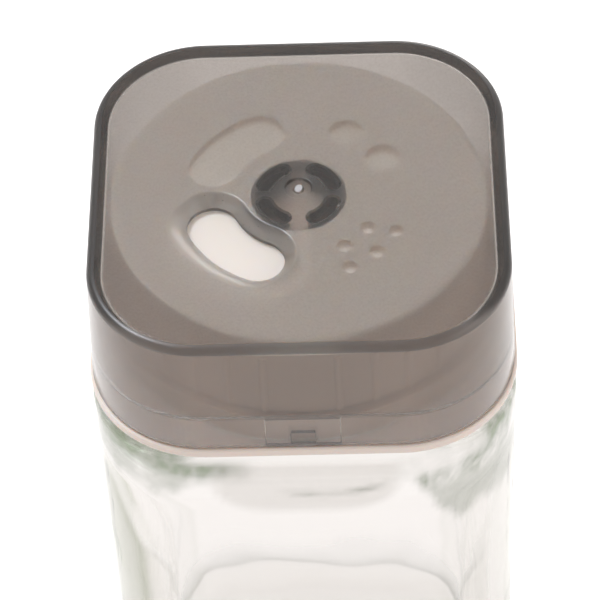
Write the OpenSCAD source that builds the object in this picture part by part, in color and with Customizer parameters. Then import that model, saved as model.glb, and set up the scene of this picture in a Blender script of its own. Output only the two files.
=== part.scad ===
// Square glass seasoning bottle with a turning selector cap.
// Four pieces: glass bottle, seal ring, inner cap with its shaker plate, smoke-grey outer cap.
// Millimetres, +Z up, origin at the middle of the base, the photographed side faces -Y.

/* [Outer cap] */
// Width of the outer cap across its flat sides, at the top
cap_w = 52; // [46:0.5:60]
// Radius of its upright corners, at the top
cap_corner_r = 13.9; // [11:0.1:16]
// How far each side leans out from top to bottom
cap_draft = 0.7; // [0.3:0.1:1]
// Thickness of the top
cap_top_t = 2; // [1.5:0.1:2.5]
// Wall of the skirt
cap_wall = 1.75; // [1.4:0.05:2]
// Wall of the thinner lip along the bottom of the skirt
lip_wall = 1; // [0.9:0.05:1.2]
// Height of that lip
lip_h = 4.9; // [4:0.1:6]
// Radius round the top edge
cap_edge_r = 0.6; // [0.3:0.1:1]
// Room between the flange and the bottom of the skirt
skirt_gap = 0.25; // [0.1:0.05:0.5]
// Room between the shaker plate and the underside of the top
plate_gap = 0.3; // [0.1:0.05:0.5]

/* [Inner cap] */
// How far the square flange stands out past the foot of the skirt
flange_ledge = 0.3; // [0.1:0.05:1]
// Thickness of the flange
flange_t = 1.4; // [1:0.1:2]
// Radius on the edges of the flange
flange_edge_r = 0.4; // [0.2:0.05:0.5]
// Room between the glass shoulder and the flange
flange_gap = 0.3; // [0.1:0.05:0.6]
// Room between the drum and the flat sides of the skirt
drum_clear = 0.65; // [0.5:0.05:1.5]
// Wall of the drum
drum_wall = 1.7; // [1.2:0.1:2.2]
// Radius round the top edge of the drum
drum_edge_r = 0.6; // [0.3:0.1:1]
// Thickness of the shaker plate that closes the drum
plate_t = 1.8; // [1.2:0.1:2.5]
// Places for upright ribs round the drum, those at the side middles stay bare
rib_places = 32; // [16:4:40]
// Radius of one upright rib
rib_r = 0.6; // [0.4:0.05:0.8]
// How far a rib stands out of the drum
rib_proud = 0.25; // [0.1:0.05:0.3]
// Distance from the top of the drum to the top of the ribs
rib_drop = 1.6; // [1:0.1:4]

/* [Click stops] */
// How far the click ring at the foot of the drum stands out of it
click_step = 1.4; // [1:0.1:1.6]
// Room between the top of the click ring and the step inside the skirt
click_top_clear = 0.95; // [0.3:0.05:1.5]
// Depth of the click notches
click_depth = 0.5; // [0.3:0.1:0.8]
// Width of the pocket inside the lip, at the middle of each side
pad_w = 9.2; // [6:0.1:12]
// Wall left behind the pocket
pad_wall = 0.7; // [0.5:0.05:0.8]
// Width of the click bump in the pocket
bump_w = 3; // [2:0.1:4]
// Height of the click bump
bump_h = 2; // [1:0.1:3]
// Room between the bump and the click ring
bump_clear = 0.3; // [0.1:0.05:0.4]

/* [Shaker holes] */
// Middle radius of the kidney openings
kidney_r = 11.75; // [11:0.05:12.5]
// Half the width of the kidney openings
kidney_half_w = 3.25; // [2.5:0.05:3.4]
// Half the angle between the two end centres of a kidney
kidney_half_deg = 20; // [12:1:22]
// Diameter of the two medium holes
medium_d = 4.4; // [3:0.1:5]
// Radius on which the medium holes lie
medium_r = 12.2; // [10:0.1:13]
// Angle from the middle of their quarter to a medium hole
medium_deg = 15; // [13:0.5:20]
// Diameter of the fine holes
fine_d = 2; // [1:0.1:2.4]
// Radius of the inner row of fine holes
fine_inner_r = 10.3; // [9:0.1:11]
// Radius of the outer row of fine holes
fine_outer_r = 13.6; // [13:0.1:14.5]
// Angle from the middle of their quarter to an inner fine hole
fine_inner_deg = 11.6; // [9:0.1:14]
// Angle between outer fine holes
fine_outer_deg = 17.4; // [12:0.1:20]

/* [Pour opening] */
// How far the funnel spreads at the ends and on the hub side
funnel_run = 1.35; // [0.8:0.05:1.5]
// How far it spreads on the outer side, where the food slides out
funnel_run_out = 3.3; // [1.5:0.1:4]
// Height of the upright edge at the bottom of the funnel
funnel_land = 0.5; // [0.3:0.1:1]

/* [Pivot] */
// Diameter of the pivot hole in the shaker plate
pivot_d = 10.8; // [10:0.1:12]
// Bevel round the top of the pivot hole
pivot_bevel = 0.6; // [0.3:0.1:0.8]
// Room between the pivot hole and the snap fingers
pivot_clear = 0.1; // [0.05:0.01:0.2]
// Radial thickness of a snap finger
finger_t = 1.5; // [1:0.1:2]
// Angle that one snap finger covers
finger_deg = 65; // [40:1:75]
// How far the hooks reach under the plate
hook_reach = 0.7; // [0.4:0.1:1]
// Height of the hooks
hook_h = 1.2; // [0.8:0.1:2]
// Room between the hooks and the underside of the plate
hook_clear = 0.15; // [0.05:0.05:0.3]
// Room round the hooks in the closed socket under the plate
socket_room = 0.3; // [0.2:0.05:0.6]
// Wall and floor of that socket
socket_wall = 1.2; // [0.8:0.1:1.6]
// Diameter of the moulding gate's dimple in the middle of the top
gate_d = 3.4; // [2:0.1:4]
// Depth of that dimple
gate_depth = 0.35; // [0.2:0.05:0.6]
// Radius of the small dome in the dimple
gate_dome_r = 0.8; // [0.4:0.1:1]
// Height of the dome above the floor of the dimple
gate_dome_h = 0.25; // [0.1:0.05:0.35]

/* [Seal] */
// Thickness of the seal ring
seal_t = 1.2; // [0.8:0.1:2]
// Room between the seal ring and the wall of the inner cap
seal_clear = 0.3; // [0.1:0.05:0.5]

/* [Neck] */
// Room for the thread between the neck and the drum
thread_room = 1.4; // [1:0.1:2]
// Wall of the neck
neck_wall = 4; // [3:0.1:5]
// Height of the neck above the shoulder
neck_h = 14.7; // [12:0.1:20]
// Radius on the edges of the rim
rim_r = 0.8; // [0.3:0.1:1.2]

/* [Bottle] */
// Height from the table to the flat top of the shoulder
shoulder_h = 98; // [60:1:110]
// Radius of the upright corners of the body, whose sides are flush with the flange
bottle_corner_r = 14.9; // [12:0.1:18]
// Thickness of the glass wall
glass_wall = 3; // [2:0.1:4]
// Thickness of glass under the cavity
glass_floor = 6; // [4:0.5:12]
// Thickness of glass over the cavity at the shoulder
glass_shoulder = 4.5; // [2.5:0.1:6]
// Radius round the outer heel
heel_r = 4; // [2:0.5:6]
// Radius round the outer edge of the shoulder
shoulder_r = 2.4; // [1:0.1:4]
// Radius round the floor of the cavity
cavity_floor_r = 7; // [3:0.5:8]
// Radius round the roof of the cavity, under the shoulder
cavity_roof_r = 8; // [4:0.5:9]
// Radius where the roof of the cavity turns up into the mouth
throat_r = 1.5; // [0.8:0.1:2.4]
// Depth of the hollow under the base
push_up = 1; // [0.5:0.1:2]
// Width of the flat ring that the bottle stands on
standing_w = 3.5; // [2:0.5:5]

/* [Hidden] */
$fn = 64;

// Cutting tools run past the faces they open by this much
over = 1;
// Pieces of one moulding sink into each other by this much
bite = 0.2;
side_angles = [0, 90, 180, 270];
diagonals = [45, 135, 225, 315];
// Middles of the four quarters of the shaker plate, the pour opening lies over the blank one
pour_deg = 225;
kidney_deg = 135;
medium_mid_deg = 45;
fine_mid_deg = 315;

// Heights, from the table up
cavity_top_z = shoulder_h - glass_shoulder;
rim_z = shoulder_h + neck_h;
flange_low_z = shoulder_h + flange_gap;
flange_top_z = flange_low_z + flange_t;
skirt_low_z = flange_top_z + skirt_gap;
lip_top_z = skirt_low_z + lip_h;
click_top_z = lip_top_z - click_top_clear;
plate_low_z = rim_z + seal_t;
plate_top_z = plate_low_z + plate_t;
roof_low_z = plate_top_z + plate_gap;
hook_top_z = plate_low_z - hook_clear;
hook_low_z = hook_top_z - hook_h;
socket_floor_z = hook_low_z - socket_room;
cap_top_z = roof_low_z + cap_top_t;
skirt_h = cap_top_z - skirt_low_z;

// Half widths and radii, from the outer cap inwards
skirt_foot = cap_w / 2 + cap_draft;
flange_half = skirt_foot + flange_ledge;
drum_r = cap_w / 2 - cap_wall - drum_clear;
drum_in_r = drum_r - drum_wall;
click_r = drum_r + click_step;
bump_tip = click_r + bump_clear;
neck_r = drum_in_r - thread_room;
mouth_r = neck_r - neck_wall;
pivot_r = pivot_d / 2;
finger_r = pivot_r - pivot_clear;
finger_in_r = finger_r - finger_t;
hook_r = pivot_r + hook_reach;
socket_r = hook_r + socket_room;

// Distance from the axis to the corner centres of the caps and of the bottle
cap_c = cap_w / 2 - cap_corner_r;
bottle_c = flange_half - bottle_corner_r;

// Quarter of a disc, for one rounded edge of a profile
module quarter_disc(r) {
    intersection() {
        circle(r);
        square(r);
    }
}

// Half profile of an upright wall of radius r, with rounded lower and upper edges
module rounded_profile(r, low_z, top_z, low_r, top_r) {
    polygon([
        [0, low_z],
        [r - low_r, low_z],
        [r - low_r, low_z + low_r],
        [r, low_z + low_r],
        [r, top_z - top_r],
        [r - top_r, top_z - top_r],
        [r - top_r, top_z],
        [0, top_z]
    ]);
    if (low_r > 0)
        translate([r - low_r, low_z + low_r])
            mirror([0, 1])
                quarter_disc(low_r);
    if (top_r > 0)
        translate([r - top_r, top_z - top_r])
            quarter_disc(top_r);
}

// Rounded-square solid: the half profile turns round each corner centre and runs along each side
module square_turning(c, low_z, top_z) {
    translate([-c, -c, low_z])
        cube([2 * c, 2 * c, top_z - low_z]);
    for (a = side_angles)
        rotate(a) {
            translate([c, c, 0])
                rotate_extrude(angle = 90)
                    children();
            translate([c, c, 0])
                rotate([90, 0, 0])
                    linear_extrude(2 * c)
                        children();
        }
}

// Place a tool at a polar position round the axis
module polar(r, angle) {
    rotate(angle)
        translate([r, 0, 0])
            children();
}

// Kidney-shaped hole: an arc slot with round ends
module kidney_slot(angle, low_z, top_z) {
    rotate(angle - kidney_half_deg)
        rotate_extrude(angle = 2 * kidney_half_deg)
            translate([kidney_r - kidney_half_w, low_z])
                square([2 * kidney_half_w, top_z - low_z]);
    for (s = [-1, 1])
        translate([0, 0, low_z])
            polar(kidney_r, angle + s * kidney_half_deg)
                cylinder(h = top_z - low_z, r = kidney_half_w);
}

module glass_bottle() {
    cavity_r = bottle_corner_r - glass_wall;
    color([0.86, 0.92, 0.88, 0.4])
        difference() {
            union() {
                square_turning(bottle_c, 0, shoulder_h)
                    rounded_profile(bottle_corner_r, 0, shoulder_h, heel_r, shoulder_r);
                rotate_extrude()
                    rounded_profile(neck_r, shoulder_h - bite, rim_z, 0, rim_r);
            }
            square_turning(bottle_c, glass_floor, cavity_top_z)
                rounded_profile(cavity_r, glass_floor, cavity_top_z, cavity_floor_r, cavity_roof_r);
            translate([0, 0, cavity_top_z - over])
                cylinder(h = rim_z - cavity_top_z + 2 * over, r = mouth_r);
            // Rounded turn from the roof of the cavity into the mouth
            rotate_extrude()
                difference() {
                    translate([0, cavity_top_z - cavity_roof_r / 2])
                        square([mouth_r + throat_r, throat_r + cavity_roof_r / 2]);
                    translate([mouth_r + throat_r, cavity_top_z + throat_r])
                        circle(throat_r);
                }
            // Bevel inside the rim
            translate([0, 0, rim_z - rim_r])
                cylinder(h = rim_r + over, r1 = mouth_r, r2 = mouth_r + rim_r + over);
            // Hollow under the base
            square_turning(bottle_c, -over, push_up)
                rounded_profile(bottle_corner_r - heel_r - standing_w, -over, push_up, 0, push_up / 2);
        }
}

module seal_ring() {
    color("white")
        difference() {
            translate([0, 0, rim_z])
                cylinder(h = seal_t, r = drum_in_r - seal_clear);
            translate([0, 0, rim_z - over])
                cylinder(h = seal_t + 2 * over, r = mouth_r);
        }
}

// Upright ribs round the drum, none at the middle of a side
module drum_ribs() {
    foot_z = click_top_z - bite;
    for (i = [0 : rib_places - 1])
        if (i % (rib_places / 4) != 0)
            translate([0, 0, foot_z])
                polar(drum_r + rib_proud - rib_r, i * 360 / rib_places)
                    cylinder(h = plate_top_z - rib_drop - foot_z, r = rib_r);
}

// All openings of the shaker plate: kidney, medium pair, fine group and pivot hole
module shaker_cuts() {
    cut_low = plate_low_z - over;
    cut_top = plate_top_z + over;
    cut_h = cut_top - cut_low;
    kidney_slot(kidney_deg, cut_low, cut_top);
    translate([0, 0, plate_top_z - pivot_bevel])
        cylinder(h = pivot_bevel + bite, r1 = pivot_r, r2 = pivot_r + pivot_bevel + bite);
    translate([0, 0, cut_low]) {
        cylinder(h = cut_h, r = pivot_r);
        for (s = [-1, 1]) {
            polar(medium_r, medium_mid_deg + s * medium_deg)
                cylinder(h = cut_h, d = medium_d);
            polar(fine_inner_r, fine_mid_deg + s * fine_inner_deg)
                cylinder(h = cut_h, d = fine_d);
        }
        for (s = [-1, 0, 1])
            polar(fine_outer_r, fine_mid_deg + s * fine_outer_deg)
                cylinder(h = cut_h, d = fine_d);
    }
}

// Closed socket under the pivot hole, the hooks of the snap fingers turn in its undercut
module pivot_socket() {
    difference() {
        translate([0, 0, socket_floor_z - socket_wall])
            cylinder(h = plate_low_z + bite - socket_floor_z + socket_wall, r = socket_r + socket_wall);
        translate([0, 0, socket_floor_z])
            cylinder(h = plate_low_z - socket_floor_z, r = socket_r);
        translate([0, 0, plate_low_z - over])
            cylinder(h = bite + 2 * over, r = pivot_r);
    }
}

module inner_cap() {
    color([0.93, 0.90, 0.86]) {
        difference() {
            union() {
                square_turning(cap_c, flange_low_z, flange_top_z)
                    rounded_profile(flange_half - cap_c, flange_low_z, flange_top_z,
                                    flange_edge_r, flange_edge_r);
                rotate_extrude()
                    rounded_profile(drum_r, flange_low_z + bite, plate_top_z, 0, drum_edge_r);
                translate([0, 0, flange_top_z - bite])
                    cylinder(h = click_top_z - flange_top_z + bite, r = click_r);
                drum_ribs();
            }
            translate([0, 0, flange_low_z - over])
                cylinder(h = plate_low_z - flange_low_z + over, r = drum_in_r);
            shaker_cuts();
            // Click notches at the side middles
            for (a = side_angles)
                rotate(a)
                    translate([click_r - click_depth, -bump_w / 2 - bump_clear, flange_top_z])
                        cube([click_depth + over, bump_w + 2 * bump_clear, bump_h + skirt_gap + bump_clear]);
        }
        pivot_socket();
    }
}

// Radius of the cap's leaning side at height z, measured from a corner centre
function side_r(z) = cap_corner_r + cap_draft * (cap_top_z - z) / skirt_h;

// Half profile of the cap's outside: leaning side, round top edge
module cap_profile() {
    slant = sqrt(skirt_h * skirt_h + cap_draft * cap_draft) / skirt_h;
    edge_z = cap_top_z - cap_edge_r;
    edge_x = side_r(edge_z) - cap_edge_r * slant;
    polygon([
        [0, skirt_low_z],
        [side_r(skirt_low_z), skirt_low_z],
        [edge_x + cap_edge_r / slant, edge_z + cap_edge_r * cap_draft / skirt_h / slant],
        [edge_x, edge_z],
        [edge_x, cap_top_z],
        [0, cap_top_z]
    ]);
    translate([edge_x, edge_z])
        circle(cap_edge_r);
}

// Half profile of a hollow that keeps a wall of thickness t, from the foot up to top_z
module hollow_profile(t, top_z) {
    low_z = skirt_low_z - over;
    polygon([[0, low_z], [side_r(low_z) - t, low_z], [side_r(top_z) - t, top_z], [0, top_z]]);
}

// Outline of the pour opening: point and outward direction at share u of the way round
function kidney_point(u) =
    let (
        arc_out = 2 * kidney_half_deg * (kidney_r + kidney_half_w),
        arc_in = 2 * kidney_half_deg * (kidney_r - kidney_half_w),
        arc_end = 180 * kidney_half_w,
        s = u * (arc_out + arc_in + 2 * arc_end)
    )
    s < arc_out
        ? let (a = s / (kidney_r + kidney_half_w) - kidney_half_deg)
            [(kidney_r + kidney_half_w) * [cos(a), sin(a)], [cos(a), sin(a)]]
    : s < arc_out + arc_end
        ? let (a = kidney_half_deg + (s - arc_out) / kidney_half_w)
            [kidney_r * [cos(kidney_half_deg), sin(kidney_half_deg)] + kidney_half_w * [cos(a), sin(a)],
             [cos(a), sin(a)]]
    : s < arc_out + arc_end + arc_in
        ? let (a = kidney_half_deg - (s - arc_out - arc_end) / (kidney_r - kidney_half_w))
            [(kidney_r - kidney_half_w) * [cos(a), sin(a)], [-cos(a), -sin(a)]]
    : let (a = 180 - kidney_half_deg + (s - arc_out - arc_end - arc_in) / kidney_half_w)
        [kidney_r * [cos(kidney_half_deg), -sin(kidney_half_deg)] + kidney_half_w * [cos(a), sin(a)],
         [cos(a), sin(a)]];

// Spread of the funnel where the outline faces direction d: wide outwards, narrow elsewhere
function funnel_spread(d) = funnel_run + (funnel_run_out - funnel_run) * pow(max(0, d[0]), 2);

// The pour opening's funnel, lofted through rings of the same outline
module pour_funnel() {
    steps = 72;
    land_z = roof_low_z + funnel_land;
    depth = cap_top_z - land_z;
    // Share of the spread and of the depth at each ring, the last one runs past the top
    rings = [[0, roof_low_z - over], [0, land_z], [0.35, land_z + depth * 0.42], [0.7, land_z + depth * 0.76],
             [1, cap_top_z], [1.3, cap_top_z + depth * 0.24]];
    points = [
        for (ring = rings)
            for (i = [0 : steps - 1])
                let (k = kidney_point(i / steps), p = k[0] + k[1] * funnel_spread(k[1]) * ring[0])
                    [p[0], p[1], ring[1]]
    ];
    last = len(rings) - 1;
    sides = [
        for (j = [0 : last - 1])
            for (i = [0 : steps - 1])
                let (n = (i + 1) % steps)
                    [j * steps + i, (j + 1) * steps + i, (j + 1) * steps + n, j * steps + n]
    ];
    floor_face = [for (i = [0 : steps - 1]) i];
    top_face = [for (i = [steps - 1 : -1 : 0]) last * steps + i];
    rotate(pour_deg)
        polyhedron(points, concat(sides, [floor_face, top_face]), convexity = 4);
}

// One snap finger: an arc wall with a hook that reaches under the shaker plate
module snap_finger() {
    rotate(-finger_deg / 2)
        rotate_extrude(angle = finger_deg)
            polygon([
                [finger_in_r, hook_low_z],
                [finger_r - hook_reach / 2, hook_low_z],
                [hook_r, hook_top_z - hook_h / 3],
                [hook_r, hook_top_z],
                [finger_r, hook_top_z],
                [finger_r, roof_low_z + bite],
                [finger_in_r, roof_low_z + bite]
            ]);
}

module outer_cap() {
    color([0.42, 0.38, 0.36, 0.75]) {
        difference() {
            square_turning(cap_c, skirt_low_z, cap_top_z)
                cap_profile();
            square_turning(cap_c, skirt_low_z - over, roof_low_z)
                hollow_profile(cap_wall, roof_low_z);
            square_turning(cap_c, skirt_low_z - over, lip_top_z)
                hollow_profile(lip_wall, lip_top_z);
            for (a = side_angles)
                rotate(a)
                    translate([0, -pad_w / 2, skirt_low_z - over])
                        cube([skirt_foot - pad_wall, pad_w, lip_h + over]);
            pour_funnel();
            translate([0, 0, cap_top_z - gate_depth])
                cylinder(h = gate_depth + over, d = gate_d);
        }
        for (a = diagonals)
            rotate(a)
                snap_finger();
        for (a = side_angles)
            rotate(a)
                translate([bump_tip, -bump_w / 2, skirt_low_z])
                    cube([skirt_foot - pad_wall + bite - bump_tip, bump_w, bump_h]);
        translate([0, 0, cap_top_z - gate_depth + gate_dome_h - gate_dome_r])
            sphere(gate_dome_r);
    }
}

glass_bottle();
seal_ring();
inner_cap();
outer_cap();
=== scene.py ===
import bpy
import bmesh
import math
from mathutils import Matrix, Vector, noise


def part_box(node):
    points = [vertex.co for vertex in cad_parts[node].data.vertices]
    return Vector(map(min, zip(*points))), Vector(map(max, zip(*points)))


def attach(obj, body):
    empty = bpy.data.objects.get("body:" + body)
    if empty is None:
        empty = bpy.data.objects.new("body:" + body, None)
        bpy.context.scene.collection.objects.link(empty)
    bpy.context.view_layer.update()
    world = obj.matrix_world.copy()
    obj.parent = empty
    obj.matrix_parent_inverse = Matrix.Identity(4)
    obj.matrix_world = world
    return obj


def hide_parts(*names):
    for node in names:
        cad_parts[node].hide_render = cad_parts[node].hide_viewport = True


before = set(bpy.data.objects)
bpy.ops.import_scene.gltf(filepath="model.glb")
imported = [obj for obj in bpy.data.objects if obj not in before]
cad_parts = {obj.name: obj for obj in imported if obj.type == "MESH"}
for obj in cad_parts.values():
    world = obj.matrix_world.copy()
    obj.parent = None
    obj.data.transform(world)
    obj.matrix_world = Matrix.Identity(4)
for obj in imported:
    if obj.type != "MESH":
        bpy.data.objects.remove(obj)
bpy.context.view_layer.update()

mm = 0.001  # sizes below are millimetres, Blender works in metres
print("frame loaded:", ", ".join(sorted(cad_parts)))


# Camera, as fitted to the photo: distances in mm from the middle of the cap's top, angles in degrees
cameraSettings = {
    "focalPixels": 3126.1,
    "imagePixels": 600,
    "sensor": 36.0,
    "distance": 389.06,
    "elevation": 49.469,
    "yaw": 2.183,
    "roll": -3.013,
    "moveRight": 0.206,
    "moveUp": -13.973,
}


def placeCamera(s, target):
    elevation, yaw, roll = (math.radians(s[k]) for k in ("elevation", "yaw", "roll"))
    level = math.cos(elevation)
    back = Vector((math.sin(yaw) * level, -math.cos(yaw) * level, math.sin(elevation)))
    right = Vector((0, 0, 1)).cross(back).normalized()
    up = back.cross(right)
    rolledRight = math.cos(roll) * right + math.sin(roll) * up
    rolledUp = -math.sin(roll) * right + math.cos(roll) * up
    place = back * s["distance"] + rolledRight * s["moveRight"] + rolledUp * s["moveUp"]
    data = bpy.data.cameras.new("photoCamera")
    data.sensor_width = s["sensor"]
    data.lens = s["focalPixels"] * s["sensor"] / s["imagePixels"]
    camera = bpy.data.objects.new("photoCamera", data)
    turn = Matrix((rolledRight, rolledUp, back)).transposed()
    camera.matrix_world = Matrix.Translation(Vector(target) + place * mm) @ turn.to_4x4()
    bpy.context.scene.collection.objects.link(camera)
    bpy.context.scene.camera = camera


capLow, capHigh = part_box("outer_cap")
placeCamera(cameraSettings, (0, 0, capHigh.z))
print("camera placed")


# Materials
def hexColor(text):  # sRGB hex to linear
    channels = [int(text[i:i + 2], 16) / 255 for i in (1, 3, 5)]
    return [c / 12.92 if c <= 0.04045 else ((c + 0.055) / 1.055) ** 2.4 for c in channels] + [1.0]


def addNode(tree, kind, settings=None, inputs=None, links=None):
    node = tree.nodes.new(kind)
    for key, value in (settings or {}).items():
        setattr(node, key, value)
    for key, value in (inputs or {}).items():
        node.inputs[key].default_value = value
    for key, socket in (links or {}).items():
        tree.links.new(socket, node.inputs[key])
    return node


def newMaterial(name):
    material = bpy.data.materials.new(name)
    material.use_nodes = True
    material.node_tree.nodes.clear()
    return material, material.node_tree


# Settings that many nodes share. A Mix node repeats its sockets' names, so those for colours go by number
multiply, colorMix = {"operation": "MULTIPLY"}, {"data_type": "RGBA"}
mixA, mixB, mixResult = 6, 7, 2


# Smoke-grey translucent styrene from a partly etched mould: satin top, glossier edges and skirt, dark when
# seen edge-on. Each face's colour also carries painted shade, set by capFinish
smokeSettings = {
    "ior": 1.57,
    "roughnessGlossy": 0.1,
    "roughnessEtched": 0.45,
    "grainMm": 0.28,  # the etching is finer, drawn this coarse so that it shows
    "grainDetail": 2.0,
    "grainShare": 0.25,  # how much the roughness varies with the grain
    "grainTone": 0.15,  # and how much the tone does
    "grainStrength": 0.03,
    "grainDepthMm": 0.006,
    "absorbColor": "#c2b9b0",
    "absorbPerMetre": 300.0,
    "speckColor": "#58575b",
    "speckLimits": (0.35, 0.65),  # grain from none of that colour to all of it
}


def smokeStyrene(s):
    material, tree = newMaterial("smokeStyreneEtched")
    # the depth attribute holds each face's colour, with painted shade on some faces
    etched, grained, depth = (addNode(tree, "ShaderNodeAttribute", settings={"attribute_name": name})
                              for name in ("etched", "grained", "depth"))
    place = addNode(tree, "ShaderNodeTexCoord")
    grain = addNode(tree, "ShaderNodeTexNoise",
                    inputs={"Scale": 1 / (s["grainMm"] * mm), "Detail": s["grainDetail"]},
                    links={"Vector": place.outputs["Object"]})
    rough = addNode(tree, "ShaderNodeMapRange",
                    inputs={"To Min": s["roughnessGlossy"], "To Max": s["roughnessEtched"]},
                    links={"Value": etched.outputs["Fac"]})
    vary = addNode(tree, "ShaderNodeMapRange",
                   inputs={"To Min": 1 - s["grainShare"], "To Max": 1 + s["grainShare"]},
                   links={"Value": grain.outputs["Fac"]})
    uneven = addNode(tree, "ShaderNodeMath", settings=multiply,
                     links={0: rough.outputs["Result"], 1: vary.outputs["Result"]})
    height = addNode(tree, "ShaderNodeMath", settings=multiply,
                     links={0: grained.outputs["Fac"], 1: grain.outputs["Fac"]})
    bump = addNode(tree, "ShaderNodeBump",
                   inputs={"Strength": s["grainStrength"], "Distance": s["grainDepthMm"] * mm},
                   links={"Height": height.outputs["Value"]})
    speckLow, speckHigh = s["speckLimits"]
    specks = addNode(tree, "ShaderNodeMapRange",
                     inputs={"From Min": speckLow, "From Max": speckHigh, "To Max": s["grainTone"]},
                     links={"Value": grain.outputs["Fac"]})
    share = addNode(tree, "ShaderNodeMath", settings=multiply,
                    links={0: grained.outputs["Fac"], 1: specks.outputs["Result"]})
    tone = addNode(tree, "ShaderNodeMix", settings=colorMix,
                   inputs={mixB: hexColor(s["speckColor"])},
                   links={"Factor": share.outputs["Value"], mixA: depth.outputs["Color"]})
    shader = addNode(tree, "ShaderNodeBsdfPrincipled", inputs={"IOR": s["ior"], "Transmission Weight": 1.0},
                     links={"Base Color": tone.outputs[mixResult], "Roughness": uneven.outputs["Value"],
                            "Normal": bump.outputs["Normal"]})
    smoke = addNode(tree, "ShaderNodeVolumeAbsorption",
                    inputs={"Color": hexColor(s["absorbColor"]), "Density": s["absorbPerMetre"]})
    addNode(tree, "ShaderNodeOutputMaterial",
            links={"Surface": shader.outputs["BSDF"], "Volume": smoke.outputs["Volume"]})
    return material


# Soda-lime bottle glass, pressed: clear through thin walls, grey-green through thick ones, faint waves
glassSettings = {
    "ior": 1.52,
    "roughness": 0.0,
    "roughnessFloor": 0.5,
    "waveMm": 9.0,
    "waveDetail": 1.0,
    "waveStrength": 0.12,
    "waveDepthMm": 0.12,
    "absorbColor": "#aac485",
    "absorbPerMetre": 3.5,
}


def sodaLimeGlass(s):
    material, tree = newMaterial("sodaLimeGlassPressed")
    thick, soft = (addNode(tree, "ShaderNodeAttribute", settings={"attribute_name": name})
                   for name in ("thick", "soft"))
    place = addNode(tree, "ShaderNodeTexCoord")
    wave = addNode(tree, "ShaderNodeTexNoise",
                   inputs={"Scale": 1 / (s["waveMm"] * mm), "Detail": s["waveDetail"]},
                   links={"Vector": place.outputs["Object"]})
    bump = addNode(tree, "ShaderNodeBump",
                   inputs={"Strength": s["waveStrength"], "Distance": s["waveDepthMm"] * mm},
                   links={"Height": wave.outputs["Fac"]})
    rough = addNode(tree, "ShaderNodeMapRange",
                    inputs={"To Min": s["roughness"], "To Max": s["roughnessFloor"]},
                    links={"Value": soft.outputs["Fac"]})
    shader = addNode(tree, "ShaderNodeBsdfPrincipled", inputs={"IOR": s["ior"], "Transmission Weight": 1.0},
                     links={"Base Color": thick.outputs["Color"], "Roughness": rough.outputs["Result"],
                            "Normal": bump.outputs["Normal"]})
    tint = addNode(tree, "ShaderNodeVolumeAbsorption",
                   inputs={"Color": hexColor(s["absorbColor"]), "Density": s["absorbPerMetre"]})
    addNode(tree, "ShaderNodeOutputMaterial",
            links={"Surface": shader.outputs["BSDF"], "Volume": tint.outputs["Volume"]})
    return material


# Cream polypropylene, moulded satin: light goes a little way in, so edges stay soft
creamSettings = {
    "paleColor": "#e9e1d9",
    "deepColor": "#e4dcd3",
    "mottleMm": 6.0,
    "mottleDetail": 2.0,
    "grainMm": 0.4,
    "grainDetail": 3.0,
    "grainStrength": 0.08,
    "grainDepthMm": 0.02,
    "roughnessLow": 0.38,
    "roughnessHigh": 0.48,
    "ior": 1.49,
    "subsurface": 1.0,
    "subsurfaceMm": 0.7,
    "subsurfaceShares": (1.0, 0.8, 0.6),  # red goes in furthest
    "glow": 0.24,  # painted glow: light that soaks through the thin walls, shown inside the drum
    "glowColor": "#fff4ea",
    "innerReachMm": (8.8, 9.2, 21.95, 22.15),  # from outside the pivot socket to the drum's inner wall
    "innerTopMm": (-1.9, -0.6),  # heights from the top of the plate
    "wallGlow": 0.05,  # share of the glow at the top of the holes' walls
    "hubGlow": 0.08,  # share of it in the pivot socket
    "lampSideGlow": 1.25,  # more light soaks in on the side of the lamp
    "lampSideMm": 9.0,
    "zones": (  # painted light and shade: colour, then mm of reach from the axis and of height from the top of the plate
        ("#cebbae", (22.3, 25.2), (-15.8, -0.7)),  # little light reaches the drum behind the skirt
        ("#efe2d5", (0.0, 8.8), (-30.0, -0.1)),  # painted light: pivot socket, lightened against the shade it lies in
        ("#998c82", (0.0, 6.3), (-2.0, -0.02)),  # pivot hole, painted shade
        ("#e9dbce", (9.2, 21.95), (-1.75, -0.1)),  # walls of the other holes, browned as painted shade
        ("#ecdfd7", (25.2, 50.0), (-30.0, 1.0)),  # flange, tinted as painted light falling on it
    ),
}


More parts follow.
